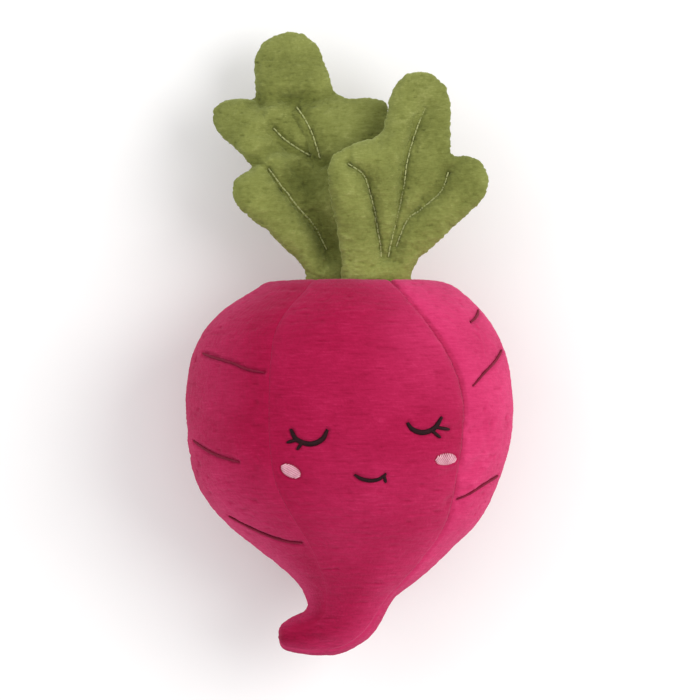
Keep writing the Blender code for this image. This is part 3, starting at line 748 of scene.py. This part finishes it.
# ---- thread


def drop(skin, x, y):
    """The point of a surface that is straight below (x, y)."""
    return np.array(skin.ray_cast(Vector((x, y, DROP_HEIGHT)), Vector((0, 0, -1)))[0])


def curve_on(skin, points):
    """A smooth curve on a surface, straight below points (x, y) in millimetres."""
    return np.array([drop(skin, x, y) for x, y in curve(points)])


def nearest(skin, point):
    """The nearest point of a surface, and the surface's normal there."""
    place, normal, _, _ = skin.find_nearest(Vector(point))
    return np.array(place), np.array(normal)


def add_strand(parts, path, radius):
    """Adds one closed round strand, with narrow ends, to a list of (vertices, faces)."""
    along = unit(np.gradient(path, axis=0))
    side = unit(np.cross(along, UP + 0.01 * along[:, ::-1]))  # a strand that points up has a side too
    lift = np.cross(side, along)
    turns = np.arange(STRAND_SIDES) * math.tau / STRAND_SIDES
    share = np.linspace(-1, 1, len(path))
    width = radius * np.sqrt(1 - STRAND_NARROWING * share**6)
    ring = side[:, None] * np.cos(turns)[:, None] + lift[:, None] * np.sin(turns)[:, None]
    points = path[:, None] + ring * width[:, None, None]
    parts.append((points.reshape(-1, 3), tube_faces(len(path), STRAND_SIDES)))


def add_stitch(parts, skin, start, end, radius, rise=STITCH_RISE):
    """Adds a strand from one hole in the surface to another, arched a little between them."""
    path = []
    for share in STITCH_SHARES:
        place, normal = nearest(skin, start + (end - start) * (share + 1) / 2)
        path.append(place + normal * (rise * (1 - share**2) - STITCH_SINK * share**6))
    add_strand(parts, np.array(path), radius)


def add_satin(parts, skin, path, half_width):
    """Adds close stitches across a path: a line of satin stitch, narrower at its ends."""
    path = resample(path, THREAD_PACE)
    along = unit(np.gradient(path, axis=0))
    for place, ahead, share in zip(path, along, np.linspace(-1, 1, len(path))):
        _, normal = nearest(skin, place)
        across = np.cross(normal, ahead) + SATIN_SLANT * ahead
        wide = half_width * (1 - SATIN_NARROWING * share**4)
        add_stitch(parts, skin, place - across * wide, place + across * wide, THREAD)


def stroke_parts(skin, strokes):
    """The satin stitch of strokes that are drawn as (x, y) on the face."""
    parts = []
    for half_width, points in strokes:
        add_satin(parts, skin, curve_on(skin, points), half_width * MM)
    return parts


def ring_parts(skin, points):
    """The satin stitch of one line round the side of the body."""
    angle, y = refine(np.array(points, float), CURVE_STEPS).T
    design = round_point(station_at(y * MM), angle)
    parts = []
    add_satin(parts, skin, np.array([nearest(skin, point)[0] for point in design]), RING_HALF_WIDTH)
    return parts


def cheek_parts(skin, centre, tilt):
    """Slanted parallel stitches that fill an oval."""
    parts = []
    turn, slant = math.radians(tilt), math.radians(CHEEK_SLANT)
    ahead = np.array((math.cos(slant), math.sin(slant)))
    aside = np.array((-ahead[1], ahead[0]))
    stretch = 1 / np.array((CHEEK_HALF_LENGTH, CHEEK_HALF_WIDTH))
    rotation = np.array(((math.cos(turn), -math.sin(turn)), (math.sin(turn), math.cos(turn))))
    reach = math.hypot(*(aside / stretch))
    along, across = ahead * stretch, aside * stretch
    for offset in np.arange(-reach, reach, CHEEK_PACE) + CHEEK_PACE / 2:
        # where the line offset * aside + t * ahead crosses the oval
        a = along @ along
        b = along @ across * offset
        c = across @ across * offset**2 - 1
        if b * b <= a * c:
            continue
        root = math.sqrt(b * b - a * c)
        ends = [
            drop(skin, *(np.array(centre) * MM + rotation @ (aside * offset + ahead * t)))
            for t in ((-b - root) / a, (-b + root) / a)
        ]
        add_stitch(parts, skin, *ends, CHEEK_THREAD)
    return parts


def closing_parts(skin):
    """The hand stitches across the end of the back seam."""
    parts = []
    stations = np.linspace(*CLOSING_STATIONS, 2 * CLOSING_STITCHES)
    angles = seam_angle(CLOSING_SEAM, stations)
    pace = np.linalg.norm(round_point(stations, angles + 1) - round_point(stations, angles - 1), axis=1) / 2
    swing = CLOSING_HALF_WIDTH / pace
    sides = [round_point(stations, angles + sign * swing) for sign in (-1, 1)]
    for k in range(0, len(stations) - 1, 2):
        add_stitch(parts, skin, sides[0][k], sides[1][k + 1], CLOSING_THREAD, CLOSING_RISE)
    return parts


def running_parts(skin, points, most_sunk):
    """A line of running stitch, drawn as (x, y) on a leaf. Its stitches sink into the pile by various
    depths, up to most_sunk."""
    path = resample(curve_on(skin, points), VEIN_STITCH)
    parts = []
    for start, end in zip(path, path[1:]):
        gap = (end - start) * VEIN_GAP / VEIN_STITCH / 2
        sink = most_sunk * (0.5 + 0.5 * float(noise(start, SINK_SIZE, SEEDS["stitches"])))
        add_stitch(parts, skin, start + gap, end - gap, VEIN_THREAD, STITCH_RISE - sink)
    return parts


def places_of(parts):
    return np.concatenate([vertices for vertices, _ in parts])


def new_thread(name, parts):
    """One piece from many closed strands."""
    faces, start = [], 0
    for vertices, own in parts:
        faces += [tuple(start + k for k in face) for face in own]
        start += len(vertices)
    piece = new_piece(name, places_of(parts), faces)
    piece.data.shade_smooth()
    return piece


# ---- leaves


def leaf_middle(leaf, x, y):
    """Height of a leaf's middle surface: it droops towards its tip and curls up at some lobes."""
    share = np.maximum(0, (y - LEAF_BASE) / LEAF_REACH)
    height = AXIS_HEIGHT + (leaf["base_height"] - leaf["droop"] * share**DROOP_POWER) * MM
    for place, lift, width in leaf["curls"]:
        away = np.hypot(x - place[0] * MM, y - place[1] * MM) / (width * MM)
        height = height + lift * MM * bell(away)
    return height


def crease_depth(leaf, points):
    """How deep a leaf is bent in at its creases and hollows."""
    depth = 0
    flat = points * (1, 1, 0)
    grooves = [(vein, *VEIN_CREASE) for vein in leaf["veins"].values()]
    for path, deep, wide in (*leaf["creases"], *grooves):
        line = resample(curve(path), LEAF_FINE)
        near = bell(distances(flat, flat_points(line)) / (wide * MM))
        depth = np.maximum(depth, deep * MM * near)
    return depth


def flat_points(points):
    """Points in the plane, as points in space at height 0."""
    return np.column_stack([points, np.zeros(len(points))])


def leaf_plan(leaf):
    """A flat leaf in small triangles, as (points, faces, which points are on its edge, which on a vein)."""
    outline = curve(leaf["outline"], closed=True)[::-1]
    outline = np.concatenate([outline, outline[:1]])
    edge = resample(outline, LEAF_CELL)[:-1]
    corners, lines = edge.tolist(), []
    for vein in leaf["veins"].values():
        path = resample(curve(vein), LEAF_CELL)
        start = len(corners)
        corners += path.tolist()
        lines += [(start + k, start + k + 1) for k in range(len(path) - 1)]
    fixed = len(corners)
    low, high = edge.min(axis=0), edge.max(axis=0)
    rows = np.arange(low[1], high[1], LEAF_CELL * math.sqrt(3) / 2)
    columns = np.arange(low[0], high[0], LEAF_CELL)
    grid = np.array([(x + LEAF_CELL / 2 * (k % 2), y) for k, y in enumerate(rows) for x in columns])
    dense = np.concatenate([resample(outline, LEAF_FINE), corners])
    corners += grid[distances(flat_points(grid), flat_points(dense)) > LEAF_CLEARANCE].tolist()
    corners = [Vector(corner) for corner in corners]
    loop = [list(range(len(edge)))]
    points, _, faces, origins, _, _ = delaunay_2d_cdt(corners, lines, loop, 1, LEAF_WELD)
    used = sorted({k for face in faces for k in face})
    renumber = {old: new for new, old in enumerate(used)}
    faces = [[renumber[k] for k in face] for face in faces]
    first = [min(origins[k], default=fixed) for k in used]
    on_edge = np.array([k < len(edge) for k in first])
    on_vein = np.array([len(edge) <= k < fixed for k in first])
    return np.array([points[k] for k in used]), faces, on_edge, on_vein


def sheet_normals(points, faces):
    corners = points[np.array(faces)]
    normals = np.cross(corners[:, 1] - corners[:, 0], corners[:, 2] - corners[:, 0])
    total = np.zeros_like(points)
    for k in range(3):
        np.add.at(total, np.array(faces)[:, k], normals)
    return unit(total)


def join_sheets(front, back, faces, shared):
    """(vertices, faces, numbers of the back's corners) of two sheets, which are one at shared corners."""
    numbers = np.arange(len(shared))
    numbers[~shared] = len(shared) + np.arange(np.count_nonzero(~shared))
    vertices = np.zeros((numbers.max() + 1, 3))
    vertices[numbers] = back
    vertices[: len(front)] = front
    return vertices, faces + [[int(numbers[k]) for k in reversed(face)] for face in faces], numbers


def bent_piece(name, leaf, vertices, faces):
    """A piece of a leaf, bent from flat to the leaf's middle surface and its creases."""
    vertices[:, 2] += leaf_middle(leaf, vertices[:, 0], vertices[:, 1]) - crease_depth(leaf, vertices)
    return new_piece(name, vertices, faces)


def fill_leaf(points, faces, on_edge, on_vein):
    """The front and the back sheet of a leaf's lining after its edge and veins are sewn and it is filled."""
    number, inset = nearest_places(flat_points(points), flat_points(points[on_edge]))
    start = LEAF_START * np.sqrt(np.minimum(inset / LEAF_CELL, LEAF_START_CELLS))
    start[on_edge | on_vein] = 0
    front, back = (np.column_stack([points, sign * start]) for sign in (1, -1))
    sheet, bag, numbers = join_sheets(front, back, faces, on_edge | on_vein)
    pinned = (sheet[:, 1] < LEAF_BASE + LEAF_CELL).astype(float)
    sheet = fill_with_fibre(sheet, bag, pinned, 0 * pinned, **LEAF_FILL)
    front, back = sheet[: len(points)].copy(), sheet[numbers]
    easing = bell(inset / LEAF_RIM_REACH)[:, None]
    drift = (front[on_edge, :2] - points[on_edge])[number] * easing
    front[:, :2] -= drift
    back[:, :2] -= drift
    return front, back


def leaf_surface(name, leaf, plan, sheets):
    """The smooth surface of a filled leaf, without its pile."""
    _, faces, on_edge, _ = plan
    front, back = sheets
    front_out = sheet_normals(front, faces)
    back_out = sheet_normals(back, [face[::-1] for face in faces])
    rim_out = unit((front_out + back_out) * (1, 1, 0))
    front = front + np.where(on_edge[:, None], rim_out * LEAF_ROUND, front_out * LEAF_CLOTH)
    vertices, faces, _ = join_sheets(front, back + back_out * LEAF_CLOTH, faces, on_edge)
    piece = bent_piece(f"{name}_plush", leaf, vertices, faces)
    piece.modifiers.new("smoothing", "SUBSURF").levels = LEAF_SMOOTHING
    mesh = bpy.data.meshes.new_from_object(piece.evaluated_get(bpy.context.evaluated_depsgraph_get()))
    piece.modifiers.clear()
    piece.data = mesh
    return piece


def corners_and_normals(mesh):
    found = []
    for field in ("co", "normal"):
        values = np.empty(len(mesh.vertices) * 3, np.float32)
        mesh.vertices.foreach_get(field, values)
        found.append(values.reshape(-1, 3).astype(float))
    return found


def skin_of(piece):
    places, _ = corners_and_normals(piece.data)
    return BVHTree.FromPolygons(places.tolist(), [tuple(p.vertices) for p in piece.data.polygons])


def raise_leaf_pile(piece, leaf, thread_places, seed):
    """Turns a leaf's smooth surface into pile, with painted shade in its creases and painted light where it
    comes out of the crown.
    """
    places, normals = corners_and_normals(piece.data)
    nap = pile_height(places, LEAF_STREAKS, LEAF_TUFTING, seed) * LEAF_PILE
    height = nap - pressed_by_thread(distances(places, thread_places))
    piece.data.vertices.foreach_set("co", (places + normals * height[:, None]).astype(np.float32).ravel())
    piece.data.update()
    piece.data.shade_smooth()
    # the pile's height, which the material turns into painted shade in its hollows and painted light on its
    # tips
    store_share(piece.data, "nap", nap / NAP_RANGE + 0.5)
    patches = LEAF_PATCHES * noise(places, LEAF_PATCH, seed + 7)
    # painted shade in the creases and hollows; the patches are the pile's own tone
    lie_and_painted_light = LEAF_BRUSHING + patches - crease_depth(leaf, places) / LEAF_SHADE
    # painted light where the leaf comes out of the crown
    lie_and_painted_light += STEM_PAINTED_LIGHT * bell((places[:, 1] - LEAF_BASE) / LEAF_STEM)
    store_share(piece.data, "brushed", lie_and_painted_light)


# ---- materials


def add_node(tree, kind, sources, **settings):
    """Adds a shader node. sources gives sockets, by name or number, a value or another node's output."""
    made = tree.nodes.new(kind)
    for key, value in settings.items():
        setattr(made, key, value)
    for key, value in sources.items():
        if isinstance(value, bpy.types.NodeSocket):
            tree.links.new(value, made.inputs[key])
        else:
            made.inputs[key].default_value = value
    return made


def texture_noise(tree, size, detail=2.0):
    """A noise texture from 0 to 1 in the object's own space, with lumps of size (x, y, z) in millimetres."""
    space = tree.nodes.get("space") or add_node(tree, "ShaderNodeTexCoord", {}, name="space")
    scale = [1 / (length * MM) for length in size]
    mapping = add_node(tree, "ShaderNodeMapping", {"Vector": space.outputs["Object"], "Scale": scale})
    texture = add_node(
        tree, "ShaderNodeTexNoise", {"Vector": mapping.outputs["Vector"], "Scale": 1.0, "Detail": detail}
    )
    return texture.outputs["Fac"]


def weighted_sum(tree, *pairs):
    """The sum of outputs, each times its weight."""
    total = None
    for output, weight in pairs:
        added = {0: output, 1: weight, 2: total if total is not None else 0.0}
        total = add_node(tree, "ShaderNodeMath", added, operation="MULTIPLY_ADD").outputs[0]
    return total


def colour_ramp(tree, share, stops):
    """A colour for each share from 0 to 1, through stops of (share, colour)."""
    ramp = add_node(tree, "ShaderNodeValToRGB", {"Fac": share})
    elements = ramp.color_ramp.elements
    while len(elements) < len(stops):
        elements.new(0.5)
    for element, (place, colour) in zip(elements, stops):
        element.position = place
        element.color = (*colour, 1)
    return ramp.outputs["Color"]


def new_material(name, roughness, sheen=0.0, sheen_roughness=0.5, sheen_tint=(1, 1, 1), gloss=GLOSS):
    """(material, node tree, shader) of a plain material."""
    material = bpy.data.materials.new(name)
    material.use_nodes = True
    shader = material.node_tree.nodes["Principled BSDF"]
    looks = {
        "Roughness": roughness,
        "Specular IOR Level": gloss,
        "Sheen Weight": sheen,
        "Sheen Roughness": sheen_roughness,
        "Sheen Tint": (*sheen_tint, 1),
    }
    for key, value in looks.items():
        shader.inputs[key].default_value = value
    return material, material.node_tree, shader


def add_colour(tree, shader, share, stops):
    """Colours a shader by a share from 0 to 1, through stops of (share, colour)."""
    tree.links.new(colour_ramp(tree, share, stops), shader.inputs["Base Color"])


def add_bump(tree, shader, height, distance, strength=1.0):
    bump = add_node(tree, "ShaderNodeBump", {"Height": height, "Distance": distance, "Strength": strength})
    tree.links.new(bump.outputs["Normal"], shader.inputs["Normal"])


def plush_material(name, colours, streaks, sheen, sheen_tint):
    """Short pile, with painted shade between its tufts and painted light at their tips, with streaks,
    patches and brushed places that also carry painted light and shade. colours holds the colours of pile
    that lies smooth and of pile that is brushed up and lit."""
    material, tree, shader = new_material(name, PLUSH_ROUGHNESS, sheen, PLUSH_SHEEN_ROUGHNESS, sheen_tint)
    nap, lie_and_painted_light = (
        add_node(tree, "ShaderNodeAttribute", {}, attribute_name=share).outputs["Fac"]
        for share in ("nap", "brushed")
    )
    fibres = texture_noise(tree, PLUSH_FIBRES, 3.0)
    lines = texture_noise(tree, streaks)
    patches = texture_noise(tree, PLUSH_PATCHES)
    # the nap's share paints shade in the pile's hollows and light on its tips
    light = weighted_sum(tree, *zip((nap, fibres, lines, patches), PLUSH_WEIGHTS))
    smooth, brushed = (colour_ramp(tree, light, list(zip(PLUSH_STOPS, ramp))) for ramp in colours)
    # the mix towards the paler colours follows brushed pile together with painted light, sheen and shade
    mixed = add_node(tree, "ShaderNodeMix", {0: lie_and_painted_light, 6: smooth, 7: brushed}, data_type="RGBA")
    tree.links.new(mixed.outputs[2], shader.inputs["Base Color"])
    add_bump(tree, shader, fibres, PLUSH_BUMP, PLUSH_BUMP_STRENGTH)
    return material


def thread_material(name, dark, light, roughness, sheen):
    """Twisted embroidery thread, with a soft lustre."""
    material, tree, shader = new_material(name, roughness, sheen, gloss=THREAD_GLOSS)
    twist = texture_noise(tree, THREAD_TWIST, 3.0)
    tone = texture_noise(tree, THREAD_TONE, 1.0)
    share = weighted_sum(tree, (twist, 0.5), (tone, 0.5))
    add_colour(tree, shader, share, list(zip(THREAD_STOPS, (dark, light))))
    add_bump(tree, shader, twist, THREAD_BUMP)
    return material


def fibre_material():
    """The white polyester filling, in soft clumps of fine fibre."""
    material, tree, shader = new_material("fibre_fill", 1.0, FILLING_SHEEN)
    clumps = texture_noise(tree, FILLING_CLUMPS, 3.0)
    strands = texture_noise(tree, FILLING_STRANDS, 4.0)
    share = weighted_sum(tree, (clumps, 0.5), (strands, 0.5))
    add_colour(tree, shader, share, FILLING_STOPS)
    add_bump(tree, shader, share, FILLING_BUMP)
    return material


# ---- the toy


def finish_piece(piece, material, slot, *nodes):
    """Gives a piece its finish and its place in the frame."""
    piece.data.materials.clear()
    piece.data.materials.append(material)
    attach(piece, "root")
    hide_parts(*nodes)


def make_body_filling(cage):
    """The lumpy filling inside the gores. It starts below the fold that closes under the leaves."""
    grid, normals = fine_body(cage, 1)
    place = grid[..., 1].mean(axis=1)
    first = next(k for k in range(place.argmax(), len(grid)) if place[k] < FILLING_TOP)
    grid, normals = (part[first:-FILLING_TAIL_RINGS] for part in (grid, normals))
    lumps = FILLING_DEPTH + FILLING_LUMP * (1 + noise(grid, FILLING_LUMP_SIZE, SEEDS["filling"]))
    points = flat_on_floor(grid - normals * lumps[..., None], FILLING_DEPTH)
    return new_piece("body_filling", points.reshape(-1, 3), tube_faces(*grid.shape[:2]))


def make_leaf_filling(name, leaf, plan, sheets):
    """The filling between a leaf's two sheets, thin where they are sewn together."""
    points, faces, on_edge, _ = plan
    front, back = sheets
    middle = (front + back) / 2
    half = np.maximum((front - back)[:, 2] / 2 - LEAF_FILLING_GAP, LEAF_FILLING_LEAST)
    half[on_edge] = 0
    centre = nearest_places(flat_points(points), flat_points(points[~on_edge]))[0]
    inner = points[~on_edge][centre]
    middle[on_edge, :2] += (inner - points)[on_edge] * LEAF_FILLING_INSET
    lift = UP * half[:, None]
    vertices, faces, _ = join_sheets(middle + lift, middle - lift, faces, on_edge)
    return bent_piece(f"{name}_filling", leaf, vertices, faces)


def embroidery_of(skin):
    """The strands of each piece of embroidery on the body."""
    made = {node: stroke_parts(skin, strokes) for node, strokes in STROKES.items()}
    made.update({node: cheek_parts(skin, *cheek) for node, cheek in CHEEKS.items()})
    made.update({node: ring_parts(skin, points) for node, points in RING_STITCHES.items()})
    made["closing_seam_thread"] = closing_parts(skin)
    return made


def thread_slot(node):
    """The record's slot for a piece of embroidery."""
    for part, slot in THREAD_SLOTS.items():
        if part in node:
            return slot


def build_body(threads, fibre):
    cage = simulate_body(body_cage())
    fine = fine_body(cage, FINE)
    material = plush_material("magenta_plush", MAGENTA, MAGENTA_STREAKS, MAGENTA_SHEEN, MAGENTA_TINT)
    embroidery = embroidery_of(body_skin(cage))
    thread_places = np.concatenate([places_of(parts) for parts in embroidery.values()])
    for gore, node in enumerate(GORES):
        piece = make_gore(fine, gore, thread_places)
        finish_piece(piece, material, "magenta_plush", node)
    finish_piece(make_body_filling(cage), fibre, "fibre_fill", "body_stuffing")
    for node, parts in embroidery.items():
        slot = thread_slot(node)
        finish_piece(new_thread(f"{node}_stitches", parts), threads[slot], slot, node)


def build_leaf(name, leaf, threads, fibre, seed):
    plan = leaf_plan(leaf)
    sheets = fill_leaf(*plan)
    piece = leaf_surface(name, leaf, plan, sheets)
    skin = skin_of(piece)
    veins = {
        node: running_parts(skin, points, VEIN_SINKS[node not in PLAIN_VEINS])
        for node, points in leaf["veins"].items()
    }
    raise_leaf_pile(piece, leaf, np.concatenate([places_of(parts) for parts in veins.values()]), seed)
    material = plush_material(f"{name}_plush", OLIVE, OLIVE_STREAKS, OLIVE_SHEEN, OLIVE_TINT)
    finish_piece(piece, material, "olive_plush", f"{name}_front", f"{name}_back")
    filling = make_leaf_filling(name, leaf, plan, sheets)
    finish_piece(filling, fibre, "fibre_fill", f"{name}_stuffing")
    for node, parts in veins.items():
        finish_piece(new_thread(f"{node}_stitches", parts), threads["olive_thread"], "olive_thread", node)


# ---- stage, light and camera


def build_stage():
    """A pale floor under the toy."""
    turns = np.arange(FLOOR_SIDES) * math.tau / FLOOR_SIDES
    rim = [(FLOOR_REACH * math.cos(turn), FLOOR_REACH * math.sin(turn), 0) for turn in turns]
    floor = new_piece("floor", rim, [tuple(range(FLOOR_SIDES))])
    floor.location.z = -FLOOR_DROP
    material, tree, shader = new_material("floor", FLOOR_ROUGHNESS)
    add_colour(tree, shader, texture_noise(tree, FLOOR_GRAIN), list(zip((0, 1), FLOOR_COLOURS)))
    floor.data.materials.append(material)


def add_area_light(name, place, size, power, colour):
    light = bpy.data.lights.new(name, "AREA")
    light.shape = "DISK"
    light.size = size
    light.energy = power
    light.color = colour
    lamp = new_object(name, light)
    lamp.location = place
    lamp.rotation_euler = (Vector((0, 0, AXIS_HEIGHT)) - Vector(place)).to_track_quat("-Z", "Y").to_euler()


def build_light():
    world = bpy.data.worlds.new("studio")
    world.use_nodes = True
    background = world.node_tree.nodes["Background"]
    background.inputs["Color"].default_value = (*WORLD_COLOUR, 1)
    background.inputs["Strength"].default_value = WORLD_STRENGTH
    bpy.context.scene.world = world
    for name, light in LIGHTS.items():
        add_area_light(name, **light)
    bpy.context.scene.view_settings.view_transform = "Standard"


def build_camera():
    """Straight above the toy, whose leaves point up in the picture."""
    camera = bpy.data.cameras.new("camera")
    camera.sensor_width = SENSOR
    camera.lens = SENSOR * CAMERA_DISTANCE / VIEW_WIDTH
    camera.dof.use_dof = False
    eye = new_object("camera", camera)
    eye.location = (0, VIEW_CENTRE_Y, AXIS_HEIGHT + CAMERA_DISTANCE)
    bpy.context.scene.camera = eye


def main():
    threads = {name: thread_material(name, *look) for name, look in THREADS.items()}
    fibre = fibre_material()
    build_body(threads, fibre)
    for seed, (name, leaf) in enumerate(LEAVES.items()):
        build_leaf(name, leaf, threads, fibre, LEAF_SEED + 10 * seed)
    build_stage()
    build_light()
    build_camera()


main()
